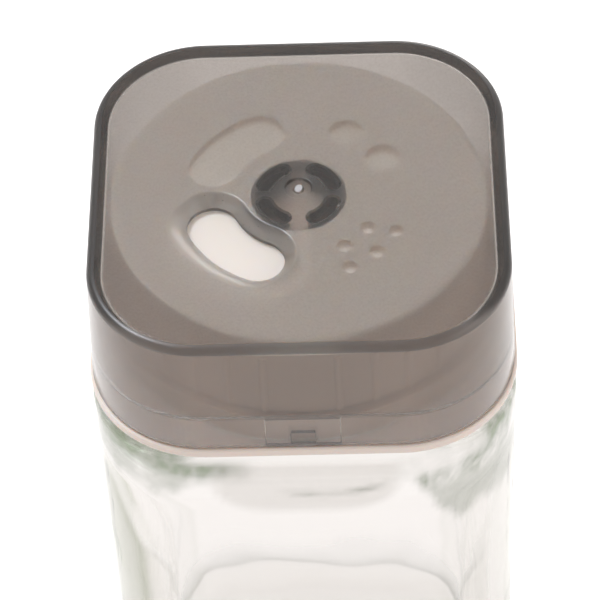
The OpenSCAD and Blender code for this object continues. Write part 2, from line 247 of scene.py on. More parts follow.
def creamPolypropylene(s, plateTop):
    material, tree = newMaterial("creamPolypropyleneSatin")
    place = addNode(tree, "ShaderNodeTexCoord")
    parts = addNode(tree, "ShaderNodeSeparateXYZ", links={"Vector": place.outputs["Object"]})
    flat = addNode(tree, "ShaderNodeCombineXYZ", links={"X": parts.outputs["X"], "Y": parts.outputs["Y"]})
    reach = addNode(tree, "ShaderNodeVectorMath", settings={"operation": "LENGTH"},
                    links={0: flat.outputs["Vector"]}).outputs["Value"]
    high = parts.outputs["Z"]
    mottle, grain = (addNode(tree, "ShaderNodeTexNoise",
                             inputs={"Scale": 1 / (s[name + "Mm"] * mm), "Detail": s[name + "Detail"]},
                             links={"Vector": place.outputs["Object"]}) for name in ("mottle", "grain"))
    rough = addNode(tree, "ShaderNodeMapRange",
                    inputs={"To Min": s["roughnessLow"], "To Max": s["roughnessHigh"]},
                    links={"Value": grain.outputs["Fac"]})
    bump = addNode(tree, "ShaderNodeBump",
                   inputs={"Strength": s["grainStrength"], "Distance": s["grainDepthMm"] * mm},
                   links={"Height": grain.outputs["Fac"]})
    color = addNode(tree, "ShaderNodeMix", settings=colorMix,
                    inputs={mixA: hexColor(s["paleColor"]), mixB: hexColor(s["deepColor"])},
                    links={"Factor": mottle.outputs["Fac"]}).outputs[mixResult]
    # zones paint light and shade into the colour
    for zoneColor, (near, far), (low, top) in s["zones"]:
        inReach = addNode(tree, "ShaderNodeMath", settings={"operation": "COMPARE"},
                          inputs={1: (near + far) / 2 * mm, 2: (far - near) / 2 * mm}, links={0: reach})
        inHeight = addNode(tree, "ShaderNodeMath", settings={"operation": "COMPARE"},
                           inputs={1: plateTop + (low + top) / 2 * mm, 2: (top - low) / 2 * mm},
                           links={0: high})
        inZone = addNode(tree, "ShaderNodeMath", settings=multiply,
                         links={0: inReach.outputs["Value"], 1: inHeight.outputs["Value"]})
        color = addNode(tree, "ShaderNodeMix", settings=colorMix,
                        inputs={mixB: hexColor(zoneColor)},
                        links={"Factor": inZone.outputs["Value"], mixA: color}).outputs[mixResult]
    hubLow, hubHigh, wallLow, wallHigh = (r * mm for r in s["innerReachMm"])
    innerLow, innerHigh = (plateTop + z * mm for z in s["innerTopMm"])
    beyond = addNode(tree, "ShaderNodeMapRange",
                     inputs={"From Min": hubLow, "From Max": hubHigh, "To Min": s["hubGlow"]},
                     links={"Value": reach})
    within = addNode(tree, "ShaderNodeMapRange",
                     inputs={"From Min": wallHigh, "From Max": wallLow, "To Max": s["glow"]},
                     links={"Value": reach})
    fall = addNode(tree, "ShaderNodeMapRange",
                   inputs={"From Min": innerLow, "From Max": innerHigh,
                           "To Min": 1.0, "To Max": s["wallGlow"]},
                   links={"Value": high})
    below = addNode(tree, "ShaderNodeMath", settings={"operation": "LESS_THAN"}, inputs={1: innerHigh},
                    links={0: high})
    lampSide = addNode(tree, "ShaderNodeMapRange",
                       inputs={"From Min": s["lampSideMm"] * mm, "From Max": -s["lampSideMm"] * mm,
                               "To Min": 1.0, "To Max": s["lampSideGlow"]},
                       links={"Value": parts.outputs["X"]})
    # painted glow inside the drum, emitted by the surfaces there
    glow = beyond.outputs[0]
    for factor in (within, fall, below, lampSide):
        glow = addNode(tree, "ShaderNodeMath", settings=multiply,
                       links={0: glow, 1: factor.outputs[0]}).outputs["Value"]
    shader = addNode(tree, "ShaderNodeBsdfPrincipled",
                     inputs={"IOR": s["ior"], "Subsurface Weight": s["subsurface"],
                             "Subsurface Radius": s["subsurfaceShares"],
                             "Subsurface Scale": s["subsurfaceMm"] * mm,
                             "Emission Color": hexColor(s["glowColor"])},
                     links={"Base Color": color, "Roughness": rough.outputs["Result"],
                            "Normal": bump.outputs["Normal"], "Emission Strength": glow})
    addNode(tree, "ShaderNodeOutputMaterial", links={"Surface": shader.outputs["BSDF"]})
    return material


# Translucent silicone rubber, moulded matte: milky, no sharp reflection
siliconeSettings = {
    "paleColor": "#efeeea",
    "deepColor": "#e2e0da",
    "mottleMm": 3.0,
    "mottleDetail": 2.0,
    "roughness": 0.6,
    "ior": 1.41,
}


def milkySilicone(s):
    material, tree = newMaterial("milkySiliconeMatte")
    place = addNode(tree, "ShaderNodeTexCoord")
    mottle = addNode(tree, "ShaderNodeTexNoise",
                     inputs={"Scale": 1 / (s["mottleMm"] * mm), "Detail": s["mottleDetail"]},
                     links={"Vector": place.outputs["Object"]})
    tone = addNode(tree, "ShaderNodeMix", settings=colorMix,
                   inputs={mixA: hexColor(s["paleColor"]), mixB: hexColor(s["deepColor"])},
                   links={"Factor": mottle.outputs["Fac"]})
    shader = addNode(tree, "ShaderNodeBsdfPrincipled", inputs={"IOR": s["ior"], "Roughness": s["roughness"]},
                     links={"Base Color": tone.outputs[mixResult]})
    addNode(tree, "ShaderNodeOutputMaterial", links={"Surface": shader.outputs["BSDF"]})
    return material


smokeMaterial = smokeStyrene(smokeSettings)
glassMaterial = sodaLimeGlass(glassSettings)
creamMaterial = creamPolypropylene(creamSettings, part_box("inner_cap")[1].z)
siliconeMaterial = milkySilicone(siliconeSettings)
print("materials made")


# Mesh helpers: every ring has its points in the same order, so that any two can be joined
meshSettings = {
    "weld": 0.0005,  # points closer than this many mm become one
    "sharpDeg": 35.0,  # edges that turn more than this stay sharp
}


def ease(low, high, value):
    share = min(1, max(0, (value - low) / (high - low)))
    return share * share * (3 - 2 * share)


def easeAt(middle, soft, value):
    return ease(middle - soft, middle + soft, value)


def squareRing(c, reach, z, stations, arcSteps, sideReach=None):
    # Rounded square with its corner centres c from the axis, or a circle at 0. reach may depend on the angle
    points = []
    for quarter in range(4):
        turn = math.radians(90 * quarter)
        ca, sa = math.cos(turn), math.sin(turn)
        for y in stations:
            x = c + (reach(turn) if callable(reach) else reach)
            if sideReach:
                x = sideReach(y)
            points.append((ca * x - sa * y, sa * x + ca * y, z))
        for i in range(arcSteps + 1):
            a = math.pi / 2 * i / arcSteps
            r = reach(turn + a) if callable(reach) else reach
            x, y = c + r * math.cos(a), c + r * math.sin(a)
            points.append((ca * x - sa * y, sa * x + ca * y, z))
    return points


def arcPoints(x, z, r, fromDeg, toDeg, steps):  # profile points along a fillet
    angles = [math.radians(fromDeg + (toDeg - fromDeg) * i / steps) for i in range(steps + 1)]
    return [(x + r * math.cos(a), z + r * math.sin(a)) for a in angles]


def addRing(bm, points):
    return [bm.verts.new(p) for p in points]


def joinRings(bm, rings):
    for low, high in zip(rings, rings[1:]):
        for i in range(len(low)):
            j = (i + 1) % len(low)
            bm.faces.new((low[i], low[j], high[j], high[i]))


def fillPlane(bm, rings):  # flat face between an outer ring and the holes in it
    edges = []
    for ring in rings:
        for i in range(len(ring)):
            pair = (ring[i], ring[(i + 1) % len(ring)])
            edges.append(bm.edges.get(pair) or bm.edges.new(pair))
    bmesh.ops.triangle_fill(bm, use_beauty=True, use_dissolve=False, edges=edges, normal=(0, 0, 1))


def makePiece(s, bm, name, material):
    bmesh.ops.remove_doubles(bm, verts=bm.verts, dist=s["weld"])
    bmesh.ops.recalc_face_normals(bm, faces=bm.faces)
    bmesh.ops.scale(bm, vec=(mm, mm, mm), verts=bm.verts)
    mesh = bpy.data.meshes.new(name)
    bm.to_mesh(mesh)
    bm.free()
    mesh.shade_smooth()
    mesh.set_sharp_from_angle(angle=math.radians(s["sharpDeg"]))
    mesh.materials.append(material)
    piece = bpy.data.objects.new(name, mesh)
    bpy.context.scene.collection.objects.link(piece)
    return piece


# Outer cap
capSettings = {
    "cornerRadius": 13.9,
    "draft": 0.7,
    "topThickness": 2.0,
    "wall": 1.75,
    "lipWall": 1.0,
    "lipHeight": 4.9,
    "edgeRadius": 1.0,
    "footRadius": 0.15,
    "roofRadius": 0.3,
    "padWidth": 9.2,
    "padWall": 0.85,
    "bumpWidth": 3.0,
    "bumpHeight": 2.0,
    "bumpTip": 25.3,
    "insideHalf": 26.2,  # faces of the lip within this are its inside
    "softEdge": 0.08,
    "support": 0.12,
    "lineHeight": 0.25,  # painted shadow: dark line where the lip steps back, and under the pads
    "levelNormal": 0.999,  # normals this upright are level
    "levelSlack": 0.01,
    "deepColor": "#5f5855",  # thick plastic of the fingers and the funnel's edge-on wall, darkened further as painted shade; painted shadow lines at the lip; painted shade in the corners
    # painted shade on the rounded rim, bluish as a painted reflection of cool light; the edge-on plastic
    # there is dark as well
    "rimShadeColor": "#4a4f5b",
    "topFrost": 0.35,
    "roofFrost": 0.65,
    "wallFrost": 0.15,
    "wallGrain": 0.25,
    "stepFrost": 1.0,
    "stepShadeShare": 0.5,
    "edgeFrost": 0.65,
    "edgeShadeShare": 0.75,
    "funnelFrost": 0.6,
    "funnelReach": 20.0,
    # painted shade on the funnel's wall that looks away from the pivot
    "funnelShadeShare": 0.4,
    "funnelFacing": (0.2, 0.6),  # how far its wall looks away from the pivot
    "diagonal": 0.7,  # part of that direction along each axis
    "fingerReach": 7.0,
    "fingerFrost": 1.0,
    # painted shade darkening the skirt towards its corners
    "cornerShadeShare": 0.14,
    "cornerRun": 6.0,
    "arcSteps": 28,
    "filletSteps": 8,
    "footSteps": 3,
    "roofSteps": 4,
}
funnelSettings = {
    "middleRadius": 11.75,
    "halfWidth": 3.25,
    "halfDeg": 20.0,
    "run": 1.5,
    "runOut": 2.7,
    "outPower": 1.4,  # how soon the wide outer slope narrows towards the ends
    "land": 0.5,
    "landShare": 0.9,  # a ring here keeps the land's edge crisp
    "profile": (  # shares of the run, and of the height toward the pivot and outward
        (0.0, 0.0, 0.0), (0.12, 0.16, 0.22), (0.3, 0.36, 0.5), (0.45, 0.52, 0.68), (0.58, 0.65, 0.8),
        (0.7, 0.76, 0.885), (0.8, 0.855, 0.94), (0.89, 0.925, 0.975), (0.97, 0.975, 0.993),
        (1.06, 1.0, 1.0), (1.16, 1.0, 1.0),
    ),
    "quarterDeg": 225.0,
    "steps": 180,
}
fingerSettings = {
    "middleRadius": 4.45,
    "halfWidth": 0.85,
    "halfDeg": 22.0,  # to the centres of the round ends, which cover the rest of 65 degrees
    "middleDegs": (41.5, 138.5, 221.5, 318.5),
    "rootSpread": 0.3,  # fillet where the finger leaves the roof
    "rootHeight": 0.22,
    "rootMiddle": (0.4, 0.6),  # shares of both halfway along it
    "hookReach": 0.8,
    "hookBelowRoof": 2.25,
    "hookHeight": 1.2,
    "hookEdge": 0.4,
    "hookTaper": 0.3,
    "steps": 56,
}
gateSettings = {
    "radius": 1.7,
    "depth": 0.35,
    "edge": 0.12,
    "edgeProfile": ((2.0, 0.0), (1.0, 0.0), (0.3, 0.3), (0.0, 1.0)),  # shares of the edge, outward and down
    "domeRadius": 0.7,
    "domeHeight": 0.24,
    "domeProfile": ((1.0, 0.0), (0.9, 0.45)),  # shares of both
    "breakRadius": 0.5,
    "breakProfile": ((1.12, 0.04), (1.0, 0.0), (0.85, 0.0)),  # shares of it, and how far each lies lower
    "breakTilt": (0.252, 0.275),  # the gate broke off slanting, so its face catches the light
    "steps": 48,
}


def kidneyOutline(s):  # points of the pour opening and the direction each one faces, in its own quarter
    mid, half, end = s["middleRadius"], s["halfWidth"], math.radians(s["halfDeg"])
    lengths = (2 * end * (mid + half), math.pi * half, 2 * end * (mid - half), math.pi * half)
    outline = []
    for i in range(s["steps"]):
        along = sum(lengths) * i / s["steps"]
        stretch = 0
        while along >= lengths[stretch]:
            along -= lengths[stretch]
            stretch += 1
        if stretch == 0:
            a = along / (mid + half) - end
            centre, reach, face = (0, 0), mid + half, a
        elif stretch == 1:
            face = end + along / half
            centre, reach = (mid * math.cos(end), mid * math.sin(end)), half
        elif stretch == 2:
            a = end - along / (mid - half)
            reach, face = mid - half, a + math.pi
            centre = (2 * reach * math.cos(a), 2 * reach * math.sin(a))
        else:
            face = math.pi - end + along / half
            centre, reach = (mid * math.cos(end), -mid * math.sin(end)), half
        direction = Vector((math.cos(face), math.sin(face)))
        outline.append((Vector(centre) + direction * reach, direction))
    return outline


def funnelRings(s, roof, top):
    turn = Matrix.Rotation(math.radians(s["quarterDeg"]), 2)
    land = roof + s["land"]
    outline = kidneyOutline(s)
    rings = []
    for z in (roof, roof + s["land"] * s["landShare"]):
        rings.append([(*(turn @ point), z) for point, direction in outline])
    for share, inward, outward in s["profile"]:
        ring = []
        for point, direction in outline:
            out = max(0, direction.x) ** s["outPower"]
            p = turn @ (point + direction * share * (s["run"] + (s["runOut"] - s["run"]) * out))
            ring.append((p.x, p.y, land + (top - land) * (inward + (outward - inward) * out)))
        rings.append(ring)
    return rings


def fingerRings(s, roof, middleDeg):
    turn = Matrix.Rotation(math.radians(middleDeg), 2)
    root, rootHeight, hookTop = s["rootSpread"], s["rootHeight"], roof - s["hookBelowRoof"]
    spreadShare, heightShare = s["rootMiddle"]
    levels = (  # spread, whether it is all outward, and height
        (root, False, roof),
        (root * spreadShare, False, roof - rootHeight * heightShare),
        (0, False, roof - rootHeight),
        (0, True, hookTop),
        (s["hookReach"], True, hookTop),
        (s["hookReach"], True, hookTop - s["hookEdge"]),
        (-s["hookTaper"], True, hookTop - s["hookHeight"]),
    )
    outline = kidneyOutline(s)
    rings = []
    for spread, outward, z in levels:
        points = [turn @ (p + d * spread * (max(0, d.x) if outward else 1)) for p, d in outline]
        rings.append([(p.x, p.y, z) for p in points])
    return rings


def gateRings(s, top):
    floor = top - s["depth"]
    levels = [(s["radius"] + s["edge"] * out, top - s["edge"] * down) for out, down in s["edgeProfile"]]
    levels.append((s["radius"] - s["edge"], floor))
    levels += [(s["domeRadius"] * out, floor + s["domeHeight"] * up) for out, up in s["domeProfile"]]
    angles = [2 * math.pi * i / s["steps"] for i in range(s["steps"])]
    rings = [[(r * math.cos(a), r * math.sin(a), z) for a in angles] for r, z in levels]
    tiltX, tiltY = s["breakTilt"]
    tip = floor + s["domeHeight"]
    for share, drop in s["breakProfile"]:
        r = s["breakRadius"] * share
        flat = [(r * math.cos(a), r * math.sin(a)) for a in angles]
        rings.append([(x, y, tip + tiltX * x + tiltY * y - drop) for x, y in flat])
    return rings, (0, 0, tip)


def capFinish(s, face, foot, lipTop, roof, top):
    # How frosted and how grained a face is, the name of its colour and the share that it takes of that
    x, y, z = face.center / mm
    up, reach = face.normal.z, math.hypot(x, y)
    side, across = max(abs(x), abs(y)), min(abs(x), abs(y))
    level, slack = s["levelNormal"], s["levelSlack"]
    # fingers: thick plastic, darkened further as painted shade of the socket under them
    if reach < s["fingerReach"] and z < roof - slack:
        return s["fingerFrost"], 0.0, "deepColor", 1.0
    if up > level and z > roof:
        return s["topFrost"], 1.0, "deepColor", 0.0
    if up < -level and z > roof - slack:
        return s["roofFrost"], 0.0, "deepColor", 0.0
    # funnel: painted shade on the side of its wall that looks away from the pivot
    if z > roof + slack and reach < s["funnelReach"]:
        facing = -s["diagonal"] * (face.normal.x + face.normal.y)
        return s["funnelFrost"], 0.0, "deepColor", s["funnelShadeShare"] * ease(*s["funnelFacing"], facing)
    # rim: painted shade and a bluish painted reflection on the rounded edge
    if z > top - s["edgeRadius"] - slack:
        return s["edgeFrost"], 0.0, "rimShadeColor", s["edgeShadeShare"]
    if up < -level and abs(z - lipTop) < slack:
        return s["stepFrost"], 0.0, "deepColor", 0.0
    inside = side < s["insideHalf"]
    # painted shadow lines where the lip steps back and under the pads
    inStepShadow = inside and lipTop - s["lineHeight"] < z < lipTop
    inPadShadow = across < s["padWidth"] / 2 and (inStepShadow or inside and z < foot + s["lineHeight"])
    # painted shade towards the corners
    inCorner = s["cornerShadeShare"] * ease(0, s["cornerRun"], across - side + s["cornerRadius"])
    share = 1.0 if inPadShadow else s["stepShadeShare"] if inStepShadow else inCorner
    return s["wallFrost"], s["wallGrain"], "deepColor", share


def outerCap(s, low, high):
    bm = bmesh.new()
    foot, top = low.z / mm, high.z / mm
    height = top - foot
    topHalf = high.x / mm - s["draft"]
    c = topHalf - s["cornerRadius"]
    roof = top - s["topThickness"]
    lipTop = foot + s["lipHeight"]
    padPlane = high.x / mm - s["padWall"]
    soft, e = s["softEdge"], s["edgeRadius"]

    def sideAt(z):  # reach of the leaning side from a corner centre
        return s["cornerRadius"] + s["draft"] * (top - z) / height

    def lipReach(z):  # inside of the lip along a side: pocket at its middle, click bump in the pocket
        def reachAt(y):
            if abs(y) <= s["bumpWidth"] / 2 and z <= foot + s["bumpHeight"]:
                return s["bumpTip"]
            if abs(y) <= s["padWidth"] / 2:
                return padPlane
            return c + sideAt(z) - s["lipWall"]
        return reachAt

    half = [s["bumpWidth"] / 2, s["bumpWidth"] / 2 + soft, s["padWidth"] / 2, s["padWidth"] / 2 + soft]
    stations = [-y for y in reversed(half)] + half

    def ring(reach, z, sideReach=None):
        return addRing(bm, squareRing(c, reach, z, stations, s["arcSteps"], sideReach))

    edgeX, edgeZ = sideAt(top - e) - e, top - e
    footR = s["footRadius"]
    outside = [(edgeX - s["support"], top)] + arcPoints(edgeX, edgeZ, e, 90, 0, s["filletSteps"])
    outside += [(sideAt(edgeZ - s["support"]), edgeZ - s["support"]), (sideAt(lipTop), lipTop)]
    outside += arcPoints(sideAt(foot) - footR, foot + footR, footR, 0, -90, s["footSteps"])
    rings = [ring(reach, z) for reach, z in outside]
    bumpTop = foot + s["bumpHeight"]
    for z in (foot, foot + s["lineHeight"], bumpTop, bumpTop + soft, lipTop - s["lineHeight"], lipTop):
        rings.append(ring(sideAt(z) - s["lipWall"], z, lipReach(z)))
    roofR = s["roofRadius"]
    inside = [(sideAt(lipTop) - s["wall"], lipTop)]
    inside += arcPoints(sideAt(roof) - s["wall"] - roofR, roof - roofR, roofR, 0, 90, s["roofSteps"])
    inside += [(sideAt(roof) - s["wall"] - roofR - s["support"], roof)]
    rings += [ring(reach, z) for reach, z in inside]
    joinRings(bm, rings)

    funnel = [addRing(bm, points) for points in funnelRings(funnelSettings, roof, top)]
    joinRings(bm, funnel)
    gatePoints, nub = gateRings(gateSettings, top)
    gate = [addRing(bm, points) for points in gatePoints]
    joinRings(bm, gate)
    nubTip = bm.verts.new(nub)
    for i in range(len(gate[-1])):
        bm.faces.new((gate[-1][i], gate[-1][(i + 1) % len(gate[-1])], nubTip))
    fingerTops = []
    for middleDeg in fingerSettings["middleDegs"]:
        finger = [addRing(bm, points) for points in fingerRings(fingerSettings, roof, middleDeg)]
        joinRings(bm, finger)
        bm.faces.new(finger[-1])
        fingerTops.append(finger[0])
    fillPlane(bm, [rings[0], funnel[-1], gate[0]])
    fillPlane(bm, [rings[-1], funnel[0]] + fingerTops)
    piece = makePiece(meshSettings, bm, "outerCap", smokeMaterial)
    for name, kind in (("etched", "FLOAT"), ("grained", "FLOAT"), ("depth", "FLOAT_COLOR")):
        piece.data.attributes.new(name, kind, "FACE")
    etched, grained, depth = (piece.data.attributes[name].data for name in ("etched", "grained", "depth"))
    # each face's colour: painted shade on the rim, fingers, funnel's wall, lip lines and corners
    for face in piece.data.polygons:
        i = face.index
        etched[i].value, grained[i].value, name, share = capFinish(s, face, foot, lipTop, roof, top)
        depth[i].color = [1 - share + share * value for value in hexColor(s[name])]
    return piece


capPiece = outerCap(capSettings, capLow, capHigh)
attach(capPiece, "selector")
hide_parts("outer_cap")
print("outer cap made")


# Glass bottle
bottleSettings = {
    "cornerRadius": 14.9,
    "wall": 3.0,
    "floor": 4.5,
    "shoulder": 4.5,
    "heelRadius": 4.0,
    "shoulderRadius": 2.4,
    "cavityFloorRadius": 4.0,
    "cavityRoofRadius": 8.0,
    "cavityRoofDeg": 73.0,  # the roof's curve starts here, just outside the mouth's rounded edge
    "throatRadius": 1.5,
    "pushUp": 1.0,
    "hollowRadius": 1.0,
    "standing": 3.5,
    "neckRadius": 20.5,
    "neckFoot": 1.0,
    "neckHeight": 14.7,
    "mouthRadius": 16.5,
    "rimRadius": 0.8,
    "support": 0.2,  # rings this close to a fillet keep its flat side flat
    "neckSupport": 0.1,
    "arcSteps": 40,
    "sideSteps": 24,
    "wallSteps": 24,
    "upperSteps": 36,  # closer rings where the tint changes, this far below the shoulder
    "upperDepth": 34.0,
    "filletSteps": 10,
    "neckSteps": 56,
    "neckFilletSteps": 6,
    "outerWave": 0.05,
    "innerWave": 0.1,
    "waveMm": 14.0,
    "rippleScale": 2.7,  # smaller waves on the large ones
    "rippleShare": 0.4,
    "outsideSlack": 0.1,
    "insideSlack": 0.5,
    "softHeights": (9.0, 15.0),  # the pressed floor inside is less smooth than the walls
    "floorColor": "#f1efec",
    "floorFade": (1.0, 4.0),  # heights above the floor
}
threadSettings = {
    "pitch": 4.233,
    "turns": 1.25,
    "height": 0.9,
    "halfWidth": 1.0,
    "startBelowRim": 8.3,
    "fadeDeg": 35.0,
    "bulge": 3,  # makes the bead's sides steep and its back flat
}


def threadRise(s, angle, z, rim):  # how far the thread stands out of the neck at this angle and height
    rise, start = 0.0, rim - s["startBelowRim"]
    whole = math.degrees(angle) % 360
    while whole <= 360 * s["turns"]:
        offset = abs(z - start - s["pitch"] * whole / 360) / s["halfWidth"]
        fade = min(1, whole / s["fadeDeg"], (360 * s["turns"] - whole) / s["fadeDeg"])
        if offset < 1:
            rise = max(rise, s["height"] * fade * (1 - offset ** s["bulge"]))
        whole += 360
    return rise


# Tint of the pressed glass where it is thick: the shoulder's corners, a strip down some corners, and the
# sides. The corners' tint also holds painted shade along the cap's flange and painted glints in its streaks;
# a band under the shoulder, with a dark line, is painted shade of the cavity roof seen through the glass.
# Depths are mm below the shoulder
tintSettings = {
    "cornerColor": "#5c6b52",
    # Each corner's depth of tint, its streaks of painted glints, and share of the strip. For its front and
    # side: the share of that depth at the tint's end, where it begins on the flat, and its strength near the
    # shoulder (painted shade along the cap's flange on the front-left) and below
    "corners": {
        (-1, -1): {"depth": 8.5, "streak": 0.35, "strip": 1.0,
                   "front": (0.5, -7.0, 0.92, 0.56), "side": (0.9, -3.0, 0.92, 0.75)},
        (1, -1): {"depth": 15.0, "streak": 1.0, "strip": 0.15,
                  "front": (0.3, -3.0, 0.2, 0.66), "side": (0.75, -3.0, 0.7, 0.66)},
        (-1, 1): {"depth": 11.0, "streak": 0.6, "strip": 0.2,
                  "front": (0.3, -3.0, 0.4, 0.5), "side": (0.75, -3.0, 0.4, 0.5)},
        (1, 1): {"depth": 12.0, "streak": 0.6, "strip": 0.2,
                 "front": (0.3, -3.0, 0.4, 0.5), "side": (0.75, -3.0, 0.4, 0.5)},
    },
    "turnSoft": 3.0,  # from the front's values to the side's
    "startSoft": 5.5,
    "cornerRun": 8.0,
    "cornerSoft": 1.6,
    "nearToDeep": (2.5, 5.0),
    "clearTop": (0.4, 1.8),  # on the flat front the glass is clear down to here
    "flatEnd": (0.0, 5.0),  # where the flat walls pass into the corners
    "streakMm": 2.2,
    "streakStretch": 0.5,  # streaks run down the wall
    "streakFade": (6.0, 9.0),
    "fineMm": 0.8,
    "fineShare": 0.5,
    "depthStreak": 0.12,
    # painted shade: the cavity roof seen through the glass under the shoulder
    "bandShadeColor": "#d9d7d4",
    "bandTop": 1.6,
    "bandTopSoft": 0.5,
    "bandLow": 10.8,
    "bandCurve": 4.5,
    "bandPower": 4,
    "bandSoft": 1.2,
    "bandEnd": (-2.0, 1.0),
    # painted shade: a dark line within that band
    "lineShadeColor": "#9fa39b",
    "lineDepth": 7.4,
    "lineMiddle": 3.5,
    "lineSlope": 0.1,
    "lineCurve": 1.2,
    "lineHalf": 7.0,
    "lineEnd": (5.0, 8.0),
    "lineSoft": 1.0,
    "lineShare": 0.7,
    "lineStreak": 0.8,
    "stripColor": "#a2a893",
    "stripInside": 0.6,
    "stripTop": 12.0,
    "stripTopSoft": 2.0,
    "stripStart": (-1.0, 3.0),
    "stripDeg": 30.0,
    "stripTurn": 1.9,  # degrees further round the corner for each mm down
    "stripMost": 52.0,
    "stripSoft": 4.5,
    "stripRim": (14.0, 2.0),  # degrees inside its edge, where it is darkest
    "sideColor": "#e9e8e3",
    "sideDepth": (8.0, 14.0),
}


def thickTint(s, x, y, depth, c):
    corner = s["corners"][-1 if x < 0 else 1, -1 if y < 0 else 1]
    side, across = max(abs(x), abs(y)), min(abs(x), abs(y))
    into = across - c  # into the corner's arc, or along the flat side
    across *= 1 if side == abs(x) and y > 0 or side == abs(y) and x > 0 else -1
    streak = noise.noise(Vector((x, y, depth * s["streakStretch"])) / s["streakMm"])
    streak += s["fineShare"] * noise.noise(Vector((x, y, depth)) / s["fineMm"])
    toSide = easeAt(0, s["turnSoft"], abs(x) - abs(y))
    least, start, near, deep = (front * (1 - toSide) + flank * toSide
                                for front, flank in zip(corner["front"], corner["side"]))
    reach = corner["depth"] * (least + (1 - least) * ease(0, s["cornerRun"], into))
    reach *= 1 + s["depthStreak"] * streak
    inCorner = ease(start, start + s["startSoft"], into) * (1 - easeAt(reach, s["cornerSoft"], depth))
    # streaks of painted glints in the corner's tint
    inCorner *= 1 + corner["streak"] * streak * (1 - ease(*s["streakFade"], depth))
    # near the shoulder this strength also paints shade along the cap's flange
    inCorner *= near + (deep - near) * ease(*s["nearToDeep"], depth)
    inCorner *= max(ease(*s["clearTop"], depth), ease(*s["flatEnd"], into), toSide)
    # painted shade of the band under the shoulder, and of its dark line
    low = s["bandLow"] - s["bandCurve"] * (across / c) ** s["bandPower"]
    bandShade = easeAt(s["bandTop"], s["bandTopSoft"], depth) * (1 - easeAt(low, s["bandSoft"], depth))
    bandShade *= 1 - ease(*s["bandEnd"], into)
    along = across - s["lineMiddle"]
    nearLine = s["lineDepth"] - s["lineCurve"] * (along / s["lineHalf"]) ** 2 - s["lineSlope"] * along
    lineShade = max(0, 1 - abs(depth - nearLine) / s["lineSoft"]) * (s["lineShare"] + s["lineStreak"] * streak)
    lineShade *= 1 - ease(*s["lineEnd"], abs(along))
    turn = math.degrees(math.atan2(abs(y) - c, abs(x) - c)) if into > 0 else 90 if side == abs(y) else 0
    edge = min(s["stripMost"], s["stripDeg"] + s["stripTurn"] * (depth - s["stripTop"]))
    inStrip = 1 - easeAt(edge, s["stripSoft"], turn)
    atRim = ease(*(edge - deg for deg in s["stripRim"]), turn)
    inStrip *= s["stripInside"] + (1 - s["stripInside"]) * atRim
    inStrip *= easeAt(s["stripTop"], s["stripTopSoft"], depth) * ease(*s["stripStart"], into)
    inStrip *= corner["strip"]
    downSide = ease(*s["sideDepth"], depth) * (1 - ease(*s["flatEnd"], into)) if side == abs(x) else 0
    color = [1.0, 1.0, 1.0]
    for share, name in ((inCorner, "cornerColor"), (bandShade, "bandShadeColor"), (lineShade, "lineShadeColor"),
                        (inStrip, "stripColor"), (downSide, "sideColor")):
        share = min(1, max(0, share))
        color = [a * (1 - share + share * b) for a, b in zip(color, hexColor(s[name]))]
    return (*color, 1.0)


